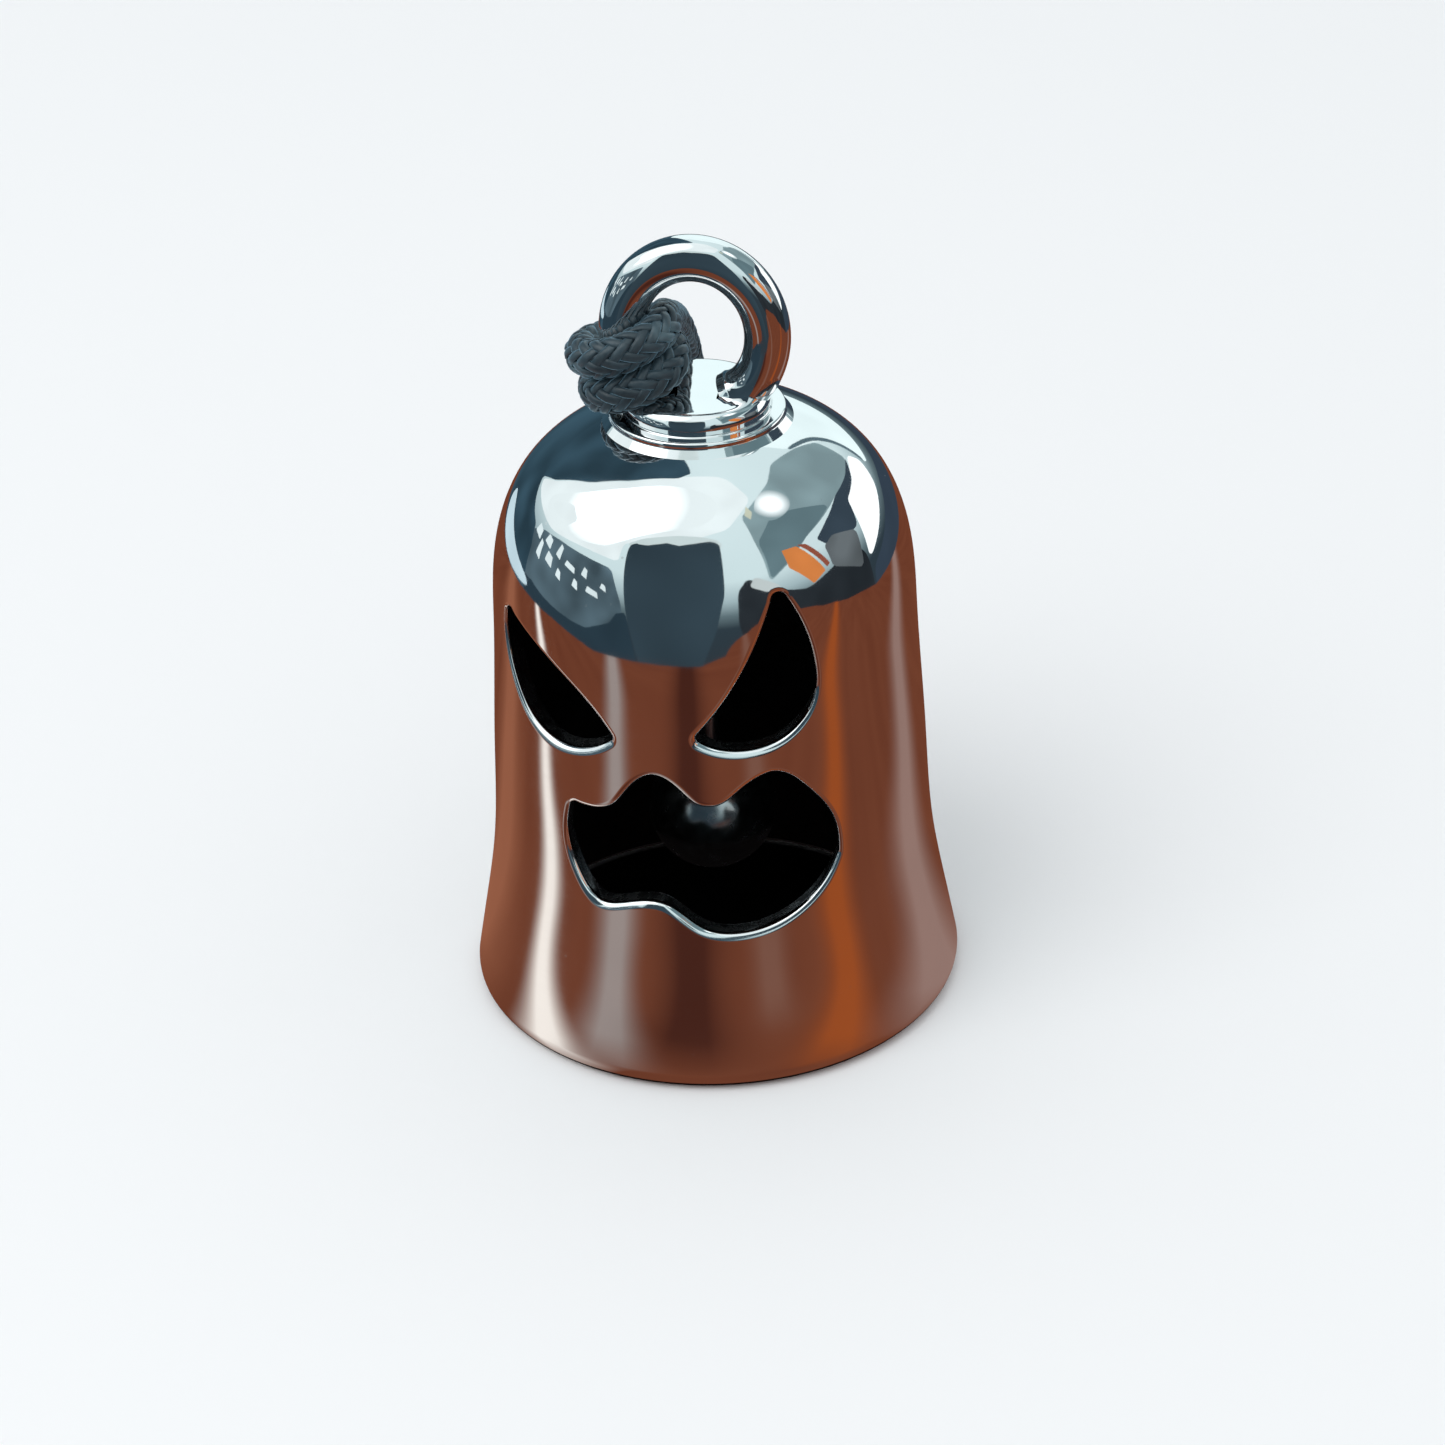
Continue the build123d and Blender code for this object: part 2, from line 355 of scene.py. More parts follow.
YARNS_EACH_WAY = 8
BRAID_PITCH = 6.0
YARN_CENTRE = 0.83
YARN_WEAVE = 0.085
YARN_HALF_WIDTH = 0.26
YARN_HALF_THICKNESS = 0.115
CORD_STEP = 0.17
YARN_SIDES = 7


def braid(line, start=0.0, tightness=1.0):
    """Points and faces of a round two-over-two braid laid along a line, with a plain core inside it."""
    ahead, side, over = frames_along(line)
    along = start + np.arange(len(line)) * CORD_STEP
    points, faces = [], []
    core_angle = np.linspace(0, 2 * math.pi, 12, endpoint=False)
    core = line[:, None] + 0.66 * tightness * (
        np.cos(core_angle)[None, :, None] * side[:, None] + np.sin(core_angle)[None, :, None] * over[:, None]
    )
    faces += grid_faces(len(line), 12, 0)
    points.append(core.reshape(-1, 3))
    total = core.shape[0] * core.shape[1]
    section = np.linspace(0, 2 * math.pi, YARN_SIDES, endpoint=False)
    crossing = 2 * YARNS_EACH_WAY * along / BRAID_PITCH
    for way in (1, -1):
        for k in range(YARNS_EACH_WAY):
            waver = 0.035 * np.sin(along * random.uniform(0.7, 1.3) + random.uniform(0, 6.3))
            angle = 2 * math.pi * (k / YARNS_EACH_WAY + way * along / BRAID_PITCH) + waver
            lift = way * np.cos(math.pi / 2 * (2 * k + way * crossing - 0.5))
            slack = 0.02 * np.sin(along * random.uniform(1.5, 2.5) + random.uniform(0, 6.3))
            reach = (YARN_CENTRE + YARN_WEAVE * lift + slack) * tightness
            radial = np.cos(angle)[:, None] * side + np.sin(angle)[:, None] * over
            centre = line + reach[:, None] * radial
            heading = unit(np.gradient(centre, axis=0))
            across = unit(np.cross(heading, radial))
            out = np.cross(across, heading)
            width = YARN_HALF_WIDTH * random.uniform(0.94, 1.07)
            ring = centre[:, None] + (
                width * np.cos(section)[None, :, None] * across[:, None]
                + YARN_HALF_THICKNESS * np.sin(section)[None, :, None] * out[:, None]
            )
            faces += grid_faces(len(line), YARN_SIDES, total)
            points.append(ring.reshape(-1, 3))
            total += ring.shape[0] * ring.shape[1]
    return np.vstack(points), faces


def smoothed(line, rounds):
    """The line with its small kinks evened out, its ends kept."""
    line = line.copy()
    for _ in range(rounds):
        line[1:-1] = line[1:-1] * 0.5 + (line[:-2] + line[2:]) * 0.25
    return line


def joined(parts):
    """Several (points, faces) pairs as one."""
    points, faces, total = [], [], 0
    for more_points, more_faces in parts:
        points.append(more_points)
        faces += [tuple(index + total for index in face) for face in more_faces]
        total += len(more_points)
    return np.vstack(points), faces


def melted_tip(line):
    """The fused end of a cut cord: a low lumpy cap on the last point of a line."""
    ahead, side, over = frames_along(line[-12:])
    rings, sides = 7, 20
    points = []
    for i in range(rings):
        lean = math.pi / 2 * i / rings
        for j in range(sides):
            turn = 2 * math.pi * j / sides
            lump = 1 + 0.05 * math.sin(3 * turn + 2 * lean) + 0.03 * math.sin(5 * turn)
            across = side[-1] * math.cos(turn) + over[-1] * math.sin(turn)
            outward = ahead[-1] * (0.45 * math.sin(lean) - 0.2)
            points.append(line[-1] + across * math.cos(lean) * lump + outward)
    points.append(line[-1] + ahead[-1] * 0.25)
    faces = grid_faces(rings, sides, 0)
    last = (rings - 1) * sides
    faces += [(last + j, last + (j + 1) % sides, rings * sides) for j in range(sides)]
    return np.array(points), faces


def knot_wraps():
    """The wraps of the barrel knot, tucked in at both ends."""
    turns = 2.35
    share = np.linspace(0, 1, 260)
    tuck = np.minimum(1, np.minimum(share, 1 - share) / 0.1)
    reach = 0.75 + (KNOT_RADIUS - CORD_RADIUS - 0.75 + 0.05) * tuck * tuck * (3 - 2 * tuck)
    angle = 2 * math.pi * turns * share + 0.6
    x, y, z = KNOT_START
    middle = y + CORD_RADIUS * 0.75 + (KNOT_LENGTH - 1.5 * CORD_RADIUS) * share
    return np.stack([x + reach * np.cos(angle), middle, z + reach * np.sin(angle)], 1)


def make_cord(material):
    lower = nurbs_points(LOWER_STRAND_ROUTE)
    upper = nurbs_points(UPPER_STRAND_ROUTE)
    whole = np.vstack([lower[::-1], hitch_line()[1:-1], upper])
    whole = evenly(smoothed(evenly(whole, CORD_STEP), 12), CORD_STEP)
    hitch_from = int(np.argmin(np.linalg.norm(whole - lower[0], axis=1)))
    hitch_to = int(np.argmin(np.linalg.norm(whole - upper[0], axis=1)))
    stretches = {
        "cord_strand_lower": (0, hitch_from),
        "cord_hitch": (hitch_from, hitch_to),
        "cord_strand_upper": (hitch_to, len(whole) - 1),
    }
    pieces = {}
    points, faces = braid(whole)
    ring_size = [12] + [YARN_SIDES] * (2 * YARNS_EACH_WAY)
    for node, (first, last) in stretches.items():
        kept_points, kept_faces, total, start = [], [], 0, 0
        count = last - first + 1
        for sides in ring_size:
            kept_points.append(points[start + first * sides : start + (last + 1) * sides])
            kept_faces += grid_faces(count, sides, total)
            total += count * sides
            start += len(whole) * sides
        pieces[node] = link_mesh(node + "_braid", np.vstack(kept_points), kept_faces, [material])
        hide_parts(node)
        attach(pieces[node], "bell")
    parts = [braid(evenly(knot_wraps(), CORD_STEP))]
    for route in TAIL_ROUTES:
        tail = evenly(nurbs_points(route), CORD_STEP)
        parts += [braid(tail), melted_tip(tail)]
    knot = link_mesh("cord_end_knot_braid", *joined(parts), [material])
    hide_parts("cord_end_knot")
    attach(knot, "bell")
    for node, going in (("cord_strand_lower", -1), ("cord_strand_upper", 1)):
        first, last = stretches[node]


# ---------------------------------------------------------------- materials


def new_material(name):
    """An empty node material, its tree and its shader."""
    material = bpy.data.materials.new(name)
    material.use_nodes = True
    tree = material.node_tree
    tree.nodes.clear()
    output = tree.nodes.new("ShaderNodeOutputMaterial")
    shader = tree.nodes.new("ShaderNodeBsdfPrincipled")
    tree.links.new(shader.outputs[0], output.inputs["Surface"])
    return material, tree, shader


def feed(tree, socket, value):
    """Link a socket to another node's output, or set it to a plain value."""
    if isinstance(value, bpy.types.NodeSocket):
        tree.links.new(value, socket)
    else:
        socket.default_value = value


def add_node(tree, kind, settings=(), **inputs):
    """A node with its settings, and its inputs fed by name (with _ for a space) or as in0, in1."""
    made = tree.nodes.new("ShaderNode" + kind)
    for key, value in dict(settings).items():
        setattr(made, key, value)
    for key, value in inputs.items():
        numbered = key.startswith("in") and key[2:].isdigit()
        feed(tree, made.inputs[int(key[2:]) if numbered else key.replace("_", " ")], value)
    return made


def position(tree):
    return add_node(tree, "TexCoord").outputs["Object"]


def noise(tree, scale, detail=3.0, stretch=(1, 1, 1), roughness=0.55):
    """Noise with features of about 1/scale metres, squeezed along the axes by stretch."""
    place = add_node(tree, "Mapping", Vector=position(tree), Scale=stretch).outputs[0]
    made = add_node(tree, "TexNoise", Vector=place, Scale=scale, Detail=detail, Roughness=roughness)
    return made.outputs["Fac"]


def spread(tree, value, low, high, from_low=0.0, from_high=1.0):
    """The value moved from one range to another, and kept inside it."""
    made = add_node(
        tree, "MapRange", Value=value, From_Min=from_low, From_Max=from_high, To_Min=low, To_Max=high
    )
    return made.outputs[0]


def calculate(tree, operation, first, second):
    """One sum of two values."""
    return add_node(tree, "Math", {"operation": operation}, in0=first, in1=second).outputs[0]


def mixed(tree, x, y, ahead):
    """x and y weighted by a plane direction."""
    first, second = (calculate(tree, "MULTIPLY", value, part) for value, part in zip((x, y), ahead))
    return calculate(tree, "ADD", first, second)


def colours(tree, value, *stops):
    """A colour ramp of (place, colour) stops."""
    made = add_node(tree, "ValToRGB", in0=value)
    elements = made.color_ramp.elements
    while len(elements) < len(stops):
        elements.new(0.5)
    for element, (place, colour) in zip(elements, stops):
        element.position = place
        element.color = (*colour, 1)
    return made.outputs[0]


def bumped(tree, shader, height, strength, distance_mm):
    made = add_node(tree, "Bump", Height=height, Strength=strength, Distance=distance_mm * MM)
    tree.links.new(made.outputs[0], shader.inputs["Normal"])


def bare_metal(tree, shader, tint, roughness):
    """Metal with the tint and the roughness that the node tree makes."""
    tree.links.new(tint, shader.inputs["Base Color"])
    tree.links.new(roughness, shader.inputs["Roughness"])
    shader.inputs["Metallic"].default_value = 1.0


def polished_steel(name, smooth, dull, lowest=None, highest=None):
    """Mirror steel with fine polishing lines, smudges and specks. Its roughness goes from dull at the
    height lowest to smooth at the height highest, where they are given."""
    material, tree, shader = new_material(name)
    lines = noise(tree, 420, 4, (1, 1, 16))
    smudges = noise(tree, 160, 2)
    specks = add_node(tree, "TexVoronoi", Vector=position(tree), Scale=520.0).outputs["Distance"]
    speck = spread(tree, specks, 0.22, 0.0, 0.03, 0.055)
    shine = spread(tree, smudges, smooth, (smooth + dull) / 2, 0.35, 0.75)
    if lowest is not None:
        height = add_node(tree, "SeparateXYZ", in0=position(tree)).outputs[2]
        low_down = spread(tree, height, dull - smooth, 0.0, lowest * MM, highest * MM)
        shine = calculate(tree, "ADD", shine, low_down)
    shine = calculate(tree, "ADD", shine, spread(tree, lines, 0.0, 0.02, 0.45, 0.7))
    shine = calculate(tree, "MAXIMUM", shine, speck)
    tint = colours(tree, smudges, (0.3, (0.86, 0.865, 0.875)), (0.7, (0.92, 0.925, 0.93)))
    bare_metal(tree, shader, tint, shine)
    bumped(tree, shader, lines, 0.05, 0.004)
    return material


def rough_inside(name):
    """Unpolished casting skin inside the bell, dark grey in uneven patches and made darker still as painted
    shade of the hollow.
    """
    material, tree, shader = new_material(name)
    grain = noise(tree, 2600, 5)
    stains = noise(tree, 260, 3)
    # Painted shade: the inside's colour is kept very dark so that the hollow stays black.
    tint = colours(tree, stains, (0.3, (0.045, 0.042, 0.042)), (0.7, (0.11, 0.105, 0.1)))
    bare_metal(tree, shader, tint, spread(tree, grain, 0.35, 0.6, 0.3, 0.7))
    bumped(tree, shader, grain, 0.6, 0.05)
    return material


def cut_wall_steel(name):
    """The cut-outs' walls: half polished, with pits left from the casting."""
    material, tree, shader = new_material(name)
    pits = noise(tree, 1500, 4)
    tint = colours(tree, pits, (0.35, (0.16, 0.16, 0.165)), (0.65, (0.5, 0.5, 0.51)))
    bare_metal(tree, shader, tint, spread(tree, pits, 0.35, 0.14, 0.35, 0.65))
    bumped(tree, shader, pits, 0.5, 0.04)
    return material


def wire_steel(name, base, low, high, stretch):
    """Drawn or tumbled steel of the clapper's parts."""
    material, tree, shader = new_material(name)
    grain = noise(tree, 900, 4, stretch)
    tint = colours(tree, grain, (0.3, tuple(0.75 * c for c in base)), (0.7, base))
    bare_metal(tree, shader, tint, spread(tree, grain, low, high, 0.3, 0.7))
    bumped(tree, shader, grain, 0.25, 0.02)
    return material


def braided_nylon(name):
    """Black yarn with fine filaments. The teal lift of its colour, its paler teal patches and the cool tint
    of its sheen are painted reflection of cool light.
    """
    material, tree, shader = new_material(name)
    filaments = noise(tree, 5200, 3)
    painted_glint_patches = noise(tree, 420, 3)
    # Painted reflection: the black yarn's colour is lifted to teal and paler in patches, as cool light on
    # it.
    tint = colours(
        tree, painted_glint_patches, (0.3, (0.010, 0.019, 0.026)), (0.6, (0.024, 0.046, 0.060)), (0.75, (0.075, 0.13, 0.155))
    )
    tree.links.new(tint, shader.inputs["Base Color"])
    tree.links.new(spread(tree, filaments, 0.3, 0.55, 0.3, 0.7), shader.inputs["Roughness"])
    shader.inputs["Sheen Weight"].default_value = 0.55
    shader.inputs["Sheen Roughness"].default_value = 0.35
    # Painted reflection: the sheen is tinted cool, as cool light.
    shader.inputs["Sheen Tint"].default_value = (0.45, 0.78, 1.0, 1)
    shader.inputs["Specular IOR Level"].default_value = 0.6
    bumped(tree, shader, filaments, 0.5, 0.03)
    return material


make_cord(braided_nylon("braided_nylon"))

# ---------------------------------------------------------------- bell shell

COLUMNS = 252
ROW_STEP = 0.28
LOOP_STEP = 0.085
ARC_STEPS = 7
# The patch of wall that is meshed anew round the face: its heights, its reach to each side
# in degrees on the outside and the inside, and the radius it is unrolled with.
FACE_HEIGHTS = (7.6, 28.6)
FACE_REACH_OUTSIDE = (-74, 52)
FACE_REACH_INSIDE = (-86, 62)
UNROLL_RADIUS = 10.9


class Wall:
    """One side of the bell's wall: a (radius, height) line from the rim to the top, with its normals."""

    def __init__(self, line, outward):
        self.line = line
        self.along = np.append(0, np.cumsum(np.linalg.norm(np.diff(line, axis=0), axis=1)))
        self.normals = -left_normals(line) * outward
        self.normals[-1] = (0, outward)

    def at_height(self, z):
        """Radius, distance along the line, and normal, at heights."""
        columns = (self.line[:, 0], self.along, self.normals[:, 0], self.normals[:, 1])
        return [np.interp(z, self.line[:, 1], column) for column in columns]

    def rows(self):
        """Evenly spaced points of the line, with their normals."""
        places = np.linspace(0, self.along[-1], int(self.along[-1] / ROW_STEP) + 1)
        line = np.stack([np.interp(places, self.along, self.line[:, i]) for i in (0, 1)], 1)
        normals = np.stack([np.interp(places, self.along, self.normals[:, i]) for i in (0, 1)], 1)
        line[-1, 0] = 0
        return line, unit(normals), places


def bell_walls():
    """The outside and the inside of the wall."""
    first = np.subtract(OUTSIDE[1], OUTSIDE[0])
    outside = spline_through([*OUTSIDE, (0, DOME_TOP)], unit(first), (-1, 0))
    normals = -left_normals(outside)
    moved = []
    for point in OUTSIDE[1:]:
        nearest = np.argmin(np.linalg.norm(outside - point, axis=1))
        moved.append(np.subtract(point, WALL * normals[nearest]))
    inside_points = np.vstack([(INNER_RIM_RADIUS, 0), *moved, (0, DOME_TOP - WALL)])
    inside = spline_through(inside_points, unit(inside_points[1] - inside_points[0]), (-1, 0))
    inside = inside[inside[:, 1] > INNER_RIM_ROUNDING]
    return Wall(outside, 1), Wall(inside, -1)


def corner_arc(before, after, radius):
    """Where to leave one curve and join the next, and the arc between, to round the corner they make."""
    a = before + radius * left_normals(before)
    b = after + radius * left_normals(after)
    reach = 220
    gaps = np.linalg.norm(a[-reach:, None] - b[None, :reach], axis=2)
    i, j = np.unravel_index(np.argmin(gaps), gaps.shape)
    i += len(a) - reach
    centre = (a[i] + b[j]) / 2
    start, stop = before[i] - centre, after[j] - centre
    angle = math.atan2(start[1], start[0])
    turn = (math.atan2(stop[1], stop[0]) - angle) % (2 * math.pi)
    angles = angle + turn * np.linspace(0, 1, 24)[1:-1]
    return i, j, centre + radius * np.stack([np.cos(angles), np.sin(angles)], 1)


def outline(curves, rounding):
    """The closed outline of a cut-out, anticlockwise seen from the front, with its two corners rounded."""
    first, second = (evenly(spline_through(points), 0.01) for points in curves)
    whole = np.vstack([first, second])
    ahead = np.roll(whole, -1, 0)
    if (whole[:, 0] * ahead[:, 1] - whole[:, 1] * ahead[:, 0]).sum() < 0:
        first, second = second[::-1], first[::-1]
    leave_first, join_second, near_arc = corner_arc(first, second, rounding)
    leave_second, join_first, far_arc = corner_arc(second, first, rounding)
    whole = np.vstack([first[join_first:leave_first], near_arc, second[join_second:leave_second], far_arc])
    return evenly(whole, LOOP_STEP, closed=True)


def rounded_edge(loop, wall):
    """Rings of points round a cut-out where the cut meets one side of the wall, from the side to the cut."""
    x, z = loop[:, 0], loop[:, 1]
    r, _, nr, nz = wall.at_height(z)
    angle = np.arcsin(np.clip(x / r, -0.999, 0.999))
    edge = np.stack([x, -r * np.cos(angle), z], 1)
    normal = unit(np.stack([nr * np.sin(angle), -nr * np.cos(angle), nz], 1))
    inward = left_normals(loop, closed=True)
    cut = np.stack([inward[:, 0], np.zeros(len(loop)), inward[:, 1]], 1)
    cosine = (normal * cut).sum(1)
    slant = np.sqrt((1 - cosine) / (1 + cosine))
    radius = np.minimum(EDGE_ROUNDING, LONGEST_TANGENT / slant)
    centre = edge - (radius / (1 + cosine))[:, None] * (normal + cut)
    rings, normals = [], []
    for k in range(ARC_STEPS + 1):
        share = k / ARC_STEPS
        spoke = unit(normal * (1 - share) + cut * share)
        rings.append(centre + radius[:, None] * spoke)
        normals.append(spoke)
    surface_angle = np.arctan2(rings[0][:, 0], -rings[0][:, 1])
    r, s, nr, nz = wall.at_height(rings[0][:, 2])
    rings[0] = np.stack([r * np.sin(surface_angle), -r * np.cos(surface_angle), rings[0][:, 2]], 1)
    normals[0] = unit(np.stack([nr * np.sin(surface_angle), -nr * np.cos(surface_angle), nz], 1))
    return rings, normals, np.stack([surface_angle, s], 1)


def inside_loop(points, loop):
    """Which plane points lie inside a closed loop."""
    ahead = np.roll(loop, -1, 0)
    inside = np.zeros(len(points), bool)
    for (x0, y0), (x1, y1) in zip(loop, ahead):
        spans = (y0 > points[:, 1]) != (y1 > points[:, 1])
        if spans.any():
            crossing = x0 + (points[:, 1] - y0) * (x1 - x0) / (y1 - y0 + 1e-12)
            inside ^= spans & (points[:, 0] < crossing)
    return inside


def triangulate(grid, numbers, border, loops, loop_numbers):
    """Triangles between a patch of the wall's grid and the cut-outs' loops, as vertex numbers.
    grid and loops are plane points, border says which grid points have to stay."""
    keep = np.ones(len(grid), bool)
    for loop in loops:
        keep &= ~inside_loop(grid, loop)
        for part in np.array_split(np.arange(len(grid)), 20):
            gap = np.linalg.norm(grid[part][:, None] - loop[None], axis=2).min(1)
            keep[part] &= gap > 0.5 * ROW_STEP
    keep |= border
    points, names = [grid[keep]], [numbers[keep]]
    edges, total = [], int(keep.sum())
    for loop, loop_names in zip(loops, loop_numbers):
        count = len(loop)
        edges += [(total + i, total + (i + 1) % count) for i in range(count)]
        points.append(loop)
        names.append(loop_names)
        total += count
    points, names = np.vstack(points), np.concatenate(names)
    _, _, faces, origins, _, _ = delaunay_2d_cdt([Vector(p) for p in points], edges, [], 0, 1e-7)
    faces = np.array([[origins[i][0] for i in face] for face in faces])
    middle = points[faces].mean(1)
    keep_face = np.ones(len(faces), bool)
    for loop in loops:
        keep_face &= ~inside_loop(middle, loop)
    return [tuple(names[face]) for face in faces[keep_face]]


def make_shell():
    outside, inside = bell_walls()
    outer_line, outer_normals, outer_along = outside.rows()
    inner_line, inner_normals, inner_along = inside.rows()
    lip, lip_normals = lip_line(outer_line[0], inner_line[0])
    line = np.vstack([outer_line[::-1], lip, inner_line])
    normals = np.vstack([outer_normals[::-1], lip_normals, inner_normals])
    points, directions, faces, starts = lathe(line, normals, COLUMNS)
    inner_start = len(outer_line) + len(lip)
    face_kind = [1 if min(face) >= starts[inner_start] else 0 for face in faces]

    points, directions = [points], [directions]
    total = len(points[0])
    eyes = [outline(eye, EYE_TIP_ROUNDING) for eye in (LEFT_EYE, RIGHT_EYE)]
    loops = [*eyes, outline(MOUTH, MOUTH_CORNER_ROUNDING)]
    edges = {}
    for wall_name, wall in (("outside", outside), ("inside", inside)):
        edges[wall_name] = []
        for loop in loops:
            rings, ring_normals, flat = rounded_edge(loop, wall)
            edges[wall_name].append((total, flat, len(loop)))
            points.extend(rings)
            directions.extend(ring_normals)
            total += len(loop) * len(rings)
    for (outer_first, _, count), (inner_first, _, _) in zip(edges["outside"], edges["inside"]):
        for first, kind in ((outer_first, 0), (inner_first, 2)):
            strip = grid_faces(ARC_STEPS + 1, count, first)
            faces += strip
            face_kind += [kind] * len(strip)
        a, b = outer_first + ARC_STEPS * count, inner_first + ARC_STEPS * count
        faces += [(a + i, a + (i + 1) % count, b + (i + 1) % count, b + i) for i in range(count)]
        face_kind += [2] * count

    # The grid is opened in front, and the opening is filled up to the cut-outs' edges.
    angle = np.linspace(-math.pi, math.pi, COLUMNS, endpoint=False)
    doomed = set()
    filled, filled_kind = [], []
    for wall_name, along, first_row, rising, reach, kind in (
        ("outside", outer_along, len(outer_line) - 1, -1, FACE_REACH_OUTSIDE, 0),
        ("inside", inner_along, inner_start, 1, FACE_REACH_INSIDE, 1),
    ):
        heights = (outer_line if kind == 0 else inner_line)[:, 1]
        low, high = np.searchsorted(heights, FACE_HEIGHTS)
        left, right = (int(round((math.radians(a) + math.pi) / (2 * math.pi) * COLUMNS)) for a in reach)
        rows, columns = np.arange(low, high + 1), np.arange(left, right + 1)
        numbers = np.array([[starts[first_row + rising * i] + j for j in columns] for i in rows])
        grid = np.array([[(angle[j] * UNROLL_RADIUS, along[i]) for j in columns] for i in rows])
        border = np.zeros(numbers.shape, bool)
        border[[0, -1], :] = border[:, [0, -1]] = True
        for i in range(len(rows) - 1):
            for j in range(len(columns) - 1):
                doomed.add(frozenset(map(int, numbers[i : i + 2, j : j + 2].ravel())))
        flats = [flat * (UNROLL_RADIUS, 1) for _, flat, _ in edges[wall_name]]
        loop_numbers = [first + np.arange(count) for first, _, count in edges[wall_name]]
        new = triangulate(grid.reshape(-1, 2), numbers.ravel(), border.ravel(), flats, loop_numbers)
        filled += new
        filled_kind += [kind] * len(new)
    kept = [(face, kind) for face, kind in zip(faces, face_kind) if frozenset(map(int, face)) not in doomed]
    faces = [face for face, _ in kept] + filled
    face_kind = [kind for _, kind in kept] + filled_kind

    points, directions = np.vstack(points), np.vstack(directions)
    used = sorted({int(index) for face in faces for index in face})
    renumber = np.full(len(points), -1)
    renumber[used] = np.arange(len(used))
    faces = [tuple(renumber[list(map(int, face))]) for face in faces]
    materials = [
        polished_steel("polished_steel", 0.022, 0.085, 20, 27.5),
        rough_inside("cast_inside"),
        cut_wall_steel("cut_walls"),
    ]
    shell = link_mesh("bell_shell_polished", points[used], faces, materials, directions[used], face_kind)
    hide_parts("bell_shell")
    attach(shell, "bell")


def lip_line(outer_start, inner_start):
    """The rim's section between the two sides: the bulging lip, the flat foot and the inner rounding."""
    a, b, c = np.array(outer_start), np.array(LIP_ROUNDING_BULGE), np.array((LIP_FOOT_RADIUS, 0.0))
    sides = np.array([b - a, c - b]) * 2
    centre = np.linalg.solve(sides, np.array([b @ b - a @ a, c @ c - b @ b]))
    radius = np.linalg.norm(a - centre)
    first, last = (math.atan2(*(p - centre)[::-1]) for p in (a, c))
    angles = np.linspace(first, last, 12)[1:]
    spokes = np.stack([np.cos(angles), np.sin(angles)], 1)
    lip, lip_normals = centre + radius * spokes, spokes
    lip_normals[-1] = (0, -1)
    inner_corner = (INNER_RIM_RADIUS, 0.0)
    rounding, _ = rounded_corner(c, inner_corner, inner_start, INNER_RIM_ROUNDING * 0.95, 6)
    rounding_normals = unit(rounding - (rounding[0] + (0, INNER_RIM_ROUNDING * 0.95)))
    return np.vstack([lip, rounding]), np.vstack([lip_normals, rounding_normals])


make_shell()

# ---------------------------------------------------------------- crown disc and ring


def make_disc(material):
    """The stepped disc, with a small fillet where it meets the dome."""
    corners = [
        ((0, DISC_TOP), 0),
        ((DISC_RADIUS, DISC_TOP), DISC_ROUNDING),
        ((DISC_RADIUS, STEP_TOP), CREASE_ROUNDING),
        ((STEP_RADIUS, STEP_TOP), STEP_ROUNDING),
        ((STEP_RADIUS, STEP_FOOT), CREASE_ROUNDING),
        (DOME_FILLET_END, 0),
    ]
    line, normals = [np.array([corners[0][0]], float)], [np.array([(0.0, 1.0)])]
    for (before, _), (corner, radius), (after, _) in zip(corners, corners[1:], corners[2:]):
        arc, arc_normals = rounded_corner(before, corner, after, radius)
        travel = unit(arc[1] - arc[0])
        sign = 1 if arc_normals[0] @ (-travel[1], travel[0]) > 0 else -1
        line.append(arc)
        normals.append(arc_normals * sign)
    line.append(np.array([corners[-1][0]], float))
    normals.append(normals[-1][-1:])
    line, normals = np.vstack(line), np.vstack(normals)
    inner = np.linspace(0, 1, 14)[1:-1, None]
    flat = line[0] * (1 - inner) + line[1] * inner
    line = np.vstack([line[:1], flat, line[1:]])
    normals = np.vstack([normals[:1], np.tile((0.0, 1.0), (len(flat), 1)), normals[1:]])
    points, directions, faces, _ = lathe(line, normals, 180)
    disc = link_mesh("crown_disc_turned", points, faces, [material], directions)
    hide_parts("crown_disc")
    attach(disc, "bell")


def make_ring(material):
    """The oval ring of round wire, flaring a little into the brazed joints at its feet."""
    turn = np.radians(np.linspace(-RING_FOOT_ANGLE, 180 + RING_FOOT_ANGLE, 240))
    heights = RING_CENTRE_Z + RING_HALF_HEIGHT * np.sin(turn)
    middle = np.stack([RING_HALF_WIDTH * np.cos(turn), 0 * turn, heights], 1)
    ahead = unit(np.stack([-RING_HALF_WIDTH * np.sin(turn), 0 * turn, RING_HALF_HEIGHT * np.cos(turn)], 1))
    across = np.stack([ahead[:, 2], 0 * turn, -ahead[:, 0]], 1)
    above = np.maximum(middle[:, 2] - DISC_TOP, -0.3)
    radius = RING_WIRE_RADIUS + 0.10 * np.exp(-above / 0.35)
    along = np.append(0, np.cumsum(np.linalg.norm(np.diff(middle, axis=0), axis=1)))
    flare = np.gradient(radius, along)
    sides = 64
    angle = np.linspace(0, 2 * math.pi, sides, endpoint=False)
    cosine, sine = np.cos(angle)[None, :, None], np.sin(angle)[None, :, None]
    spokes = cosine * across[:, None] + sine * np.array((0, 1.0, 0))
    points = (middle[:, None] + radius[:, None, None] * spokes).reshape(-1, 3)
    directions = unit(spokes - flare[:, None, None] * ahead[:, None]).reshape(-1, 3)
    faces = grid_faces(len(turn), sides)
    ring = link_mesh("hanger_ring_polished", points, faces, [material], directions)
    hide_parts("hanger_ring")
    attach(ring, "bell")


make_disc(polished_steel("polished_steel_crown", 0.03, 0.08))
make_ring(polished_steel("polished_steel_ring", 0.03, 0.08))

# ---------------------------------------------------------------- clapper

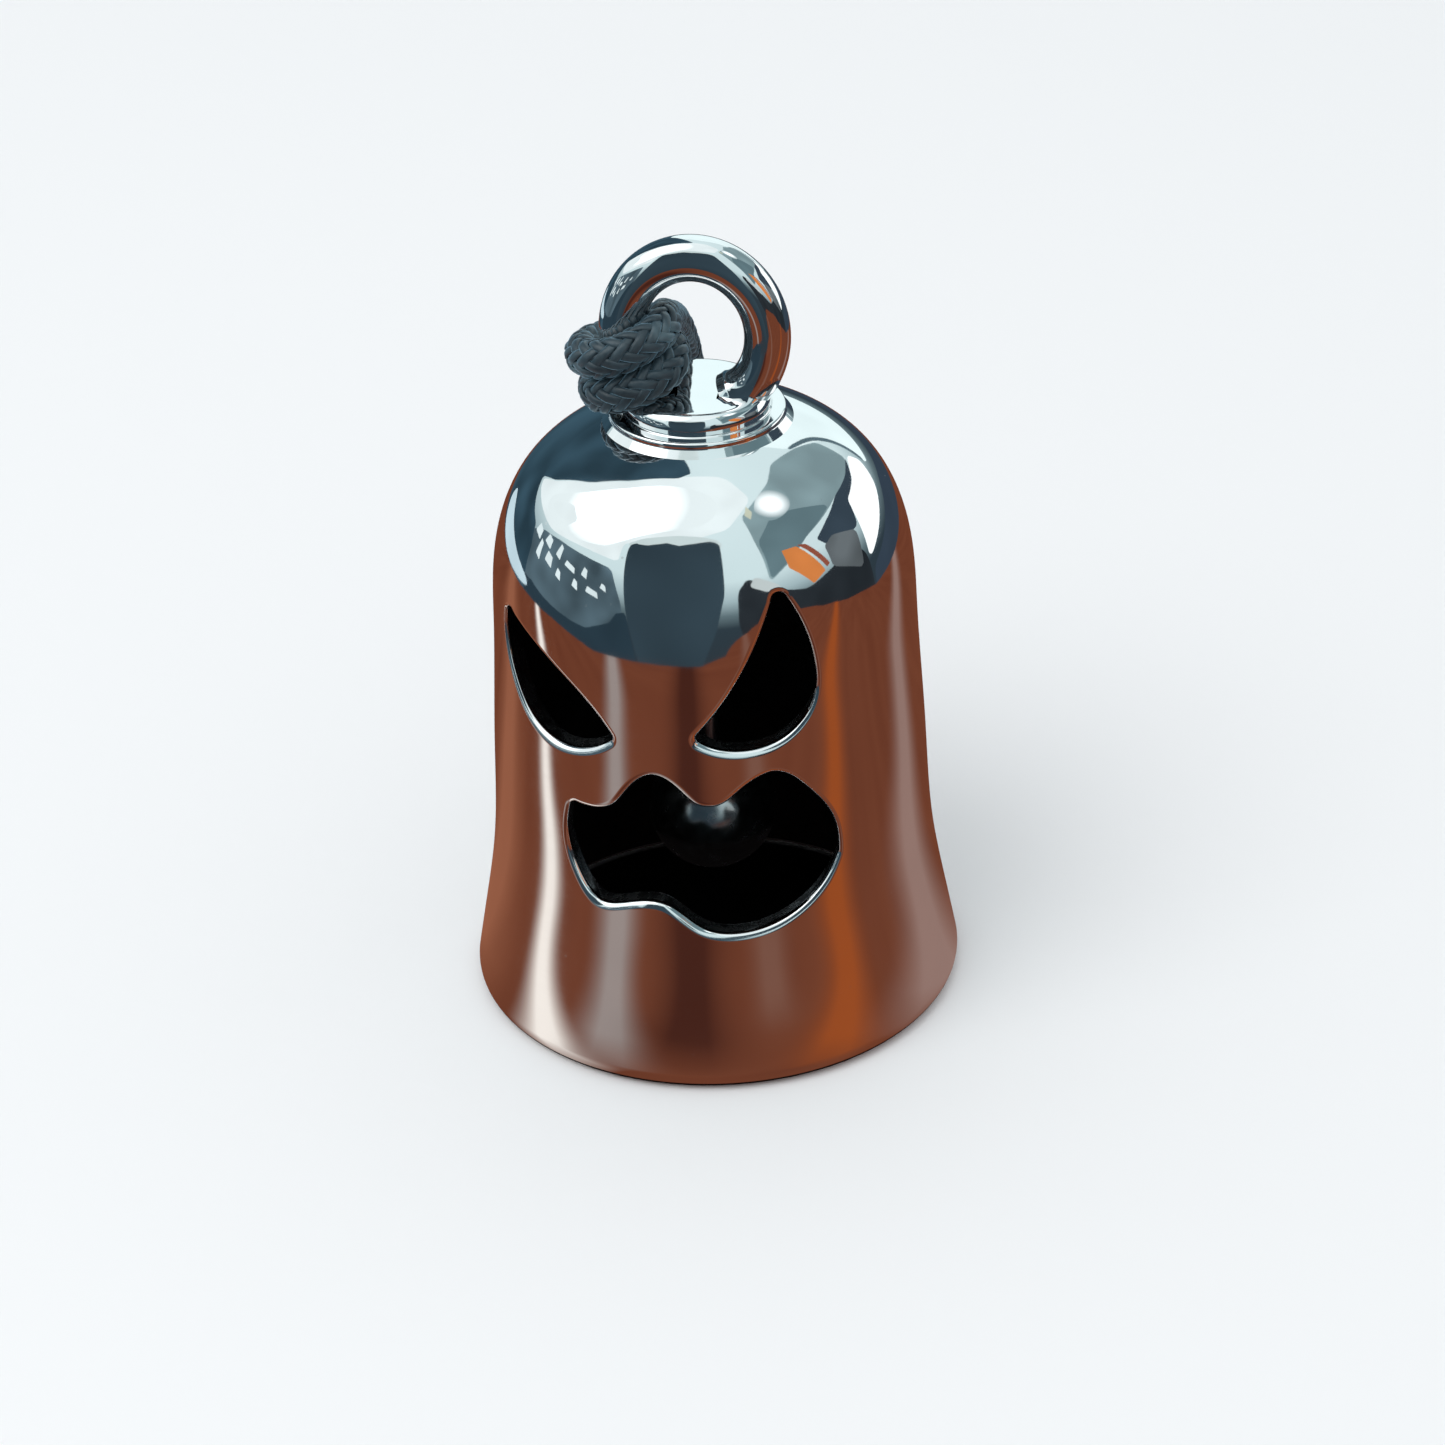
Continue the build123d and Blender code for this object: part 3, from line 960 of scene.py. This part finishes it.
wire = wire_steel("drawn_wire", (0.5, 0.5, 0.51), 0.2, 0.38, (1, 1, 0.25))
tumbled = wire_steel("tumbled_ball", (0.62, 0.62, 0.63), 0.12, 0.3, (1, 1, 1))
finishes = {"clapper_staple": wire, "clapper_link": wire, "clapper_wire": wire, "clapper_ball": tumbled}
for node, finish in finishes.items():
    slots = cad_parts[node].data.materials
    if len(slots):
        slots[0] = finish
    else:
        slots.append(finish)

# ---------------------------------------------------------------- stage and light

# What only the polished metal sees: a warm wooden board under the pale floor, and soft lights,
# panels and dark cards round the bell. The board and the cards glow with painted light, though they
# are no lamps. All of it is plain, and none is seen directly.


def reflected_only(thing):
    thing.visible_camera = False
    thing.visible_diffuse = False
    thing.visible_shadow = False
    thing.visible_transmission = False
    thing.visible_volume_scatter = False


def glow(name, colour, strength):
    """A plain emitting material; colour may be a function that makes the colour from the node tree."""
    material = bpy.data.materials.new(name)
    material.use_nodes = True
    tree = material.node_tree
    tree.nodes.clear()
    output = tree.nodes.new("ShaderNodeOutputMaterial")
    light = add_node(tree, "Emission", Strength=strength)
    if callable(colour):
        tree.links.new(colour(tree), light.inputs["Color"])
    else:
        light.inputs["Color"].default_value = (*colour, 1)
    tree.links.new(light.outputs[0], output.inputs["Surface"])
    return material


DOME_MIDDLE = 28


def compass(azimuth, elevation):
    """A direction from the dome, by compass angle and elevation."""
    a, e = math.radians(azimuth), math.radians(elevation)
    return math.sin(a) * math.cos(e), -math.cos(a) * math.cos(e), math.sin(e)


def overhead(x, y):
    """The direction from the dome to a point x, y of a ceiling one unit up."""
    return tuple(unit(np.array((x, y, 1.0))))


def softened(corners, cut, rounds=3):
    """An outline with its corners cut a few times."""
    points = np.array(corners, float)
    for _ in range(rounds):
        following = np.roll(points, -1, axis=0)
        near, far = points + (following - points) * cut, following + (points - following) * cut
        points = np.stack([near, far], 1).reshape(-1, 3)
    return points


def panel(name, distance, colour, corners, strength=1.0, cut=0.12, uneven=0.08, core=None):
    """A plain glowing panel round the dome.

    Each corner is a compass angle and an elevation, or a direction that overhead gives.
    With a core colour, the panel's middle has it and fades to the first colour at the edge.
    """
    directions = [compass(*corner) if len(corner) == 2 else corner for corner in corners]
    points = unit(softened(directions, cut)) * distance + (0, 0, DOME_MIDDLE)
    middle = points.mean(0)
    reach = np.linalg.norm(points - middle, axis=1)

    def shade(tree):
        if core is None:
            drift = noise(tree, 5.0, 1)
            dim, full = ([c * (1 + change) for c in colour] for change in (-uneven, uneven))
            return colours(tree, drift, (0.32, dim), (0.68, full))
        away = add_node(
            tree, "VectorMath", {"operation": "DISTANCE"}, in0=position(tree), in1=tuple(middle * MM)
        ).outputs["Value"]
        share = spread(tree, away, 0.0, 1.0, 0.3 * reach.mean() * MM, reach.mean() * MM)
        return colours(tree, share, (0.0, core), (1.0, colour))

    reflected_only(link_mesh(name, points, [tuple(range(len(points)))], [glow(name, shade, strength)]))


def board_colour(tree):
    """Varnished reddish wood with straight bands of painted light lying on it, and one dark band of painted
    shadow.
    """
    axes = add_node(tree, "SeparateXYZ", in0=position(tree))
    x, y = axes.outputs[0], axes.outputs[1]
    grain = noise(tree, 60, 4, (0.35, 3, 1))
    colour = colours(tree, grain, (0.25, (0.145, 0.041, 0.021)), (0.75, (0.185, 0.057, 0.029)))
    # Each band: a point it passes, its direction, half width (mm), colour and strength.
    bands = [
        ((-18, 6), -110, 9.0, (0.33, 0.12, 0.065), 0.9),
        ((-16, -11.5), -93, 3.0, (1.0, 0.93, 0.86), 1.0),
        ((-14, -23), -42, 5.0, (0.36, 0.31, 0.29), 0.9),
        # A dark band of painted shadow in front of the bell.
        ((-1, -30), 0, 9.0, (0.060, 0.017, 0.011), 0.95),
        ((19, -33), 28, 5.0, (0.22, 0.105, 0.075), 0.8),
        ((19.5, -14.4), 84, 5.0, (0.36, 0.080, 0.018), 0.9),
        ((18, 2), 135, 7.0, (0.34, 0.22, 0.19), 0.85),
    ]
    for (px, py), heading, width, tint, strength in bands:
        a = math.radians(heading)
        across = (math.cos(a), math.sin(a))
        ahead = (math.sin(a), -math.cos(a))
        middle = (px * across[0] + py * across[1]) * MM
        offset = calculate(tree, "SUBTRACT", mixed(tree, x, y, across), middle)
        offset = calculate(tree, "ABSOLUTE", offset, 0.0)
        begins = (px * ahead[0] + py * ahead[1] - 12) * MM
        on = spread(tree, mixed(tree, x, y, ahead), 0.0, 1.0, begins, begins + 8 * MM)
        near = spread(tree, offset, 1.0, 0.0, width * 0.35 * MM, width * 1.6 * MM)
        near = calculate(tree, "MULTIPLY", near, near)
        share = calculate(tree, "MULTIPLY", calculate(tree, "MULTIPLY", near, on), strength)
        mix = add_node(tree, "Mix", {"data_type": "RGBA"})
        tree.links.new(share, mix.inputs[0])
        tree.links.new(colour, mix.inputs[6])
        mix.inputs[7].default_value = (*tint, 1)
        colour = mix.outputs[2]
    return colour


# How far the board reaches from the bell, by compass angle: (angle, millimetres).
BOARD_REACH = [
    (-180, 100), (-95, 102), (-74, 97), (-49, 78), (-26, 78), (6, 78), (18, 92), (30, 190), (40, 400),
    (60, 400), (72, 220), (86, 150), (108, 108), (150, 104), (180, 100),
]


STAGE_SIDES = 120
FLOOR_REACH = 3000
BOARD_START = 12.9
DARK_REACH = 14
ROOM_RADIUS = 900


def make_stage():
    around = np.linspace(-180, 180, STAGE_SIDES, endpoint=False)
    reach = np.interp(around, *zip(*BOARD_REACH))
    spokes = np.stack([np.sin(np.radians(around)), -np.cos(np.radians(around)), 0 * around], 1)

    def floor_colour(tree):
        """Pale, with painted shade: black under the bell, where no light comes."""
        axes = add_node(tree, "SeparateXYZ", in0=position(tree))
        x, y = axes.outputs[0], axes.outputs[1]
        away = calculate(tree, "ADD", calculate(tree, "MULTIPLY", x, x), calculate(tree, "MULTIPLY", y, y))
        share = spread(tree, away, 0.0, 1.0, (11.2 * MM) ** 2, (12.0 * MM) ** 2)
        return colours(tree, share, (0.0, (0.004, 0.004, 0.004)), (1.0, (0.86, 0.865, 0.87)))

    pale, tree, shader = new_material("pale_floor")
    tree.links.new(floor_colour(tree), shader.inputs["Base Color"])
    shader.inputs["Roughness"].default_value = 0.9
    shader.inputs["Specular IOR Level"].default_value = 0.1
    whole = [tuple(range(STAGE_SIDES))]
    floor = link_mesh("floor", spokes * FLOOR_REACH - (0, 0, 0.02), whole, [pale])
    floor.visible_glossy = False
    points = np.vstack([spokes * BOARD_START, spokes * reach[:, None]]) - (0, 0, 0.6)
    # Painted light: the board glows, standing in for a lit wooden table.
    wood = glow("board", board_colour, 1.0)
    reflected_only(link_mesh("board", points, grid_faces(2, STAGE_SIDES), [wood]))
    # Painted shade: a black disc under the bell that only the metal sees, so that the inside stays dark.
    shade = glow("dark_under_bell", (0.003, 0.0025, 0.0025), 1.0)
    reflected_only(link_mesh("dark_under_bell", spokes * DARK_REACH - (0, 0, 0.8), whole, [shade]))


def make_room():
    """A plain room that only the metal sees: pale overhead, dim round the horizon."""

    def shade(tree):
        height = add_node(tree, "SeparateXYZ", in0=position(tree)).outputs[2]
        share = spread(tree, height, 0.0, 1.0, -0.9, 0.9)
        return colours(
            tree,
            share,
            (0.0, (0.030, 0.036, 0.042)),
            (0.47, (0.030, 0.048, 0.062)),
            (0.53, (0.13, 0.19, 0.21)),
            (0.60, (0.40, 0.53, 0.56)),
            (0.70, (0.66, 0.82, 0.84)),
            (1.0, (0.72, 0.88, 0.90)),
        )

    angle = np.radians(np.linspace(-90, 90, 33))
    line = ROOM_RADIUS * np.stack([np.cos(angle), np.sin(angle)], 1)
    line[[0, -1], 0] = 0
    points, _, faces, _ = lathe(line, np.zeros_like(line) + (0, 1.0), 64)
    reflected_only(link_mesh("room", points, faces, [glow("room", shade, 1.0)]))
    # Bright wall and lamp behind the bell's left, in two steps of brightness.
    panel("bright_wall_left", 700, (0.88, 0.98, 0.99), [
        (-128, 14), (-121, 25), (-113, 44), (-111, 61), (-128, 75), overhead(0.12, 0.20),
        overhead(0.36, 0.02), overhead(0.30, -0.43), overhead(0.05, -0.62), overhead(-0.57, -0.70),
        overhead(-0.83, -0.74), (-44, 28), (-71, 25), (-94, 17),
    ], uneven=0.05)
    panel("lamp", 620, (0.88, 0.98, 0.99), [
        (-116, 19), (-106, 40), overhead(-0.55, 0.12), overhead(-0.15, 0.08), overhead(0.16, -0.06),
        overhead(0.12, -0.42), overhead(-0.5, -0.56), overhead(-0.95, -0.72), (-60, 32), (-90, 20),
    ], cut=0.25, core=(2.2, 2.3, 2.3))
    panel("grey_panel", 540, (0.25, 0.36, 0.385), [
        overhead(0.56, 1.01), overhead(0.40, 0.51), overhead(0.43, 0.27), overhead(0.40, 0.04),
        overhead(0.36, -0.23), overhead(0.72, -0.65), (46, 16), (62, 24), overhead(1.52, -0.24),
        overhead(1.40, 0.78), overhead(1.49, 1.54), overhead(1.46, 2.33), overhead(0.79, 1.62),
    ], cut=0.1, uneven=0.15)
    panel("grey_panel_shade", 480, (0.13, 0.21, 0.235), [
        overhead(0.62, -0.10), overhead(1.38, 0.55), overhead(1.50, -0.22), (62, 25), (47, 17),
        overhead(0.74, -0.62),
    ], cut=0.1)
    panel("glint", 450, (0.25, 0.36, 0.385), [
        overhead(0.42, 0.18), overhead(0.58, 0.28), overhead(0.80, 0.10), overhead(0.72, -0.20),
        overhead(0.48, -0.20), overhead(0.39, 0.0),
    ], cut=0.25, core=(1.5, 1.6, 1.6))
    panel("pale_box", 410, (0.62, 0.66, 0.52), [
        overhead(0.35, -0.08), overhead(0.43, -0.14), overhead(0.46, -0.24), overhead(0.38, -0.20),
    ], cut=0.05)
    panel("dark_frame_right", 500, (0.040, 0.062, 0.085), [
        (148, 20), (136, 25), (119, 32), (98, 31), (84, 27), (88, 18), (100, 14), (112, 12),
        (121, 24), (136, 21),
    ], cut=0.1)
    panel("bright_window_right", 520, (0.95, 1.0, 1.0), [
        (110, -5), (128, -1), (143, 3), (151, 10), (150, 18), (136, 22), (119, 24), (113, 10),
    ], strength=1.3, cut=0.15, uneven=0.03)
    panel("dark_edge_right", 510, (0.036, 0.055, 0.080), [
        (112, -26), (150, -26), (190, -24), (190, -10), (168, -5), (150, -1), (128, -6), (112, -9),
    ])
    panel("bright_back_right", 640, (0.84, 0.99, 1.0), [
        (152, 4), (172, 2), (208, 4), (202, 24), (202, 50), (175, 62), (150, 44), (156, 22),
    ], strength=1.08, uneven=0.05)
    panel("thin_line_right", 505, (0.10, 0.16, 0.19), [
        (150, 44), (155, 30), (155, 20), (151.5, 7), (153.5, 7), (157, 20), (157, 30), (152, 44),
    ], cut=0.2)
    panel("dim_left", 640, (0.085, 0.135, 0.165), [
        (-106, -12), (-106, 6), (-98, 13), (-84, 18), (-66, 21), (-46, 22), (-36, 4), (-33, -12),
    ], cut=0.1, uneven=0.4)
    panel("dark_band_left", 630, (0.024, 0.046, 0.064), [
        (-108, -26), (-104, -8), (-88, -3), (-74, -5), (-58, -2), (-44, -4), (-33, 0), (-26, -26),
    ], cut=0.08)
    panel("dark_card_front", 200, (0.034, 0.058, 0.076), [
        (-26, -21), (-15, -22), (6, -22), (14, -8), (20, 14), (22, 50), (19, 53), (7, 56), (-14, 56),
        (-36, 48), (-43, 42), (-33, 3),
    ], cut=0.1, uneven=0.2)
    panel("pale_edge_of_card", 204, (0.66, 0.78, 0.78), [
        (-45, 42.5), (-38, 50), (-14, 58.2), (8, 58.2), (21, 55), (24, 50.5), (18, 42), (-30, 36),
    ], cut=0.1)
    panel("orange_card", 420, (0.66, 0.22, 0.06), [
        (59, 20), (60, 33), (70, 31), (79, 8), (70, 5),
    ], cut=0.04, uneven=0.18)
    panel("red_strip", 415, (0.30, 0.085, 0.05), [
        (71, 31.5), (76, 29), (83, 10), (80.5, 9),
    ], cut=0.04)
    panel("dark_low_right", 460, (0.022, 0.028, 0.034), [
        (38, -24), (112, -24), (108, 2), (92, 8), (84, 7), (66, 4), (54, 8), (44, 13), (34, 22),
        (27, 14), (26, -6),
    ], cut=0.15, uneven=0.3)
    panel("grey_low_right", 440, (0.12, 0.14, 0.15), [
        (84, 7), (104, -5), (109, 12), (94, 22), (85, 20),
    ], cut=0.1, uneven=0.3)
    panel("pale_low_right", 430, (0.55, 0.62, 0.62), [
        (34, 16), (44, 10), (52, 9), (50, 13), (38, 22),
    ], cut=0.15)
    panel("dark_shoulder", 600, (0.034, 0.074, 0.104), [
        (-103, -26), (-101, 0), (-106, 9), (-118, 11), (-129, 14), (-122, 24), (-113, 44),
        (-112, 61), (-132, 77), (-158, 77), (-157, 50), (-160, 20), (-168, 0), (-175, -26),
    ], cut=0.1, uneven=0.35)
    panel("pale_strip_left", 420, (0.62, 0.80, 0.88), [
        (-144, -15), (-120, -15.5), (-98, -14), (-100, -11), (-118, -8.5), (-138, -6),
    ], cut=0.2)
    marks = (
        (-100, 8, 13, 3), (-94, 1, 9, 2), (-90, 10, 15, 3), (-85, 3, 8, 3), (-80, 10, 17, 2), (-76, 1, 5, 2),
        (-70, 9, 12, 4), (-64, 2, 6, 2), (-60, 10, 15, 2), (-53, 3, 6, 4), (-47, 8, 11, 2),
    )
    for turn, low, high, half in marks:
        corners = [(turn - half, low), (turn + half, low - 1), (turn + half - 1, high - 1)]
        corners.append((turn - half + 0.5, high))
        panel(f"pale_mark{turn}", 430, (0.80, 0.93, 0.95), corners, cut=0.06)


def make_light():
    scene = bpy.context.scene
    scene.view_settings.view_transform = "Standard"
    world = bpy.data.worlds.new("studio")
    scene.world = world
    world.use_nodes = True
    background = world.node_tree.nodes["Background"]
    background.inputs["Color"].default_value = (0.95, 0.98, 1.0, 1)
    background.inputs["Strength"].default_value = 0.85
    data = bpy.data.lights.new("key", "AREA")
    data.shape = "DISK"
    data.size = 0.5
    data.energy = 1.6
    key = bpy.data.objects.new("key", data)
    scene.collection.objects.link(key)
    key.location = (-0.25, -0.3, 0.55)
    key.rotation_euler = (Vector((0, 0, 0.015)) - key.location).to_track_quat("-Z", "Y").to_euler()
    key.visible_glossy = False


make_stage()
make_room()
make_light()
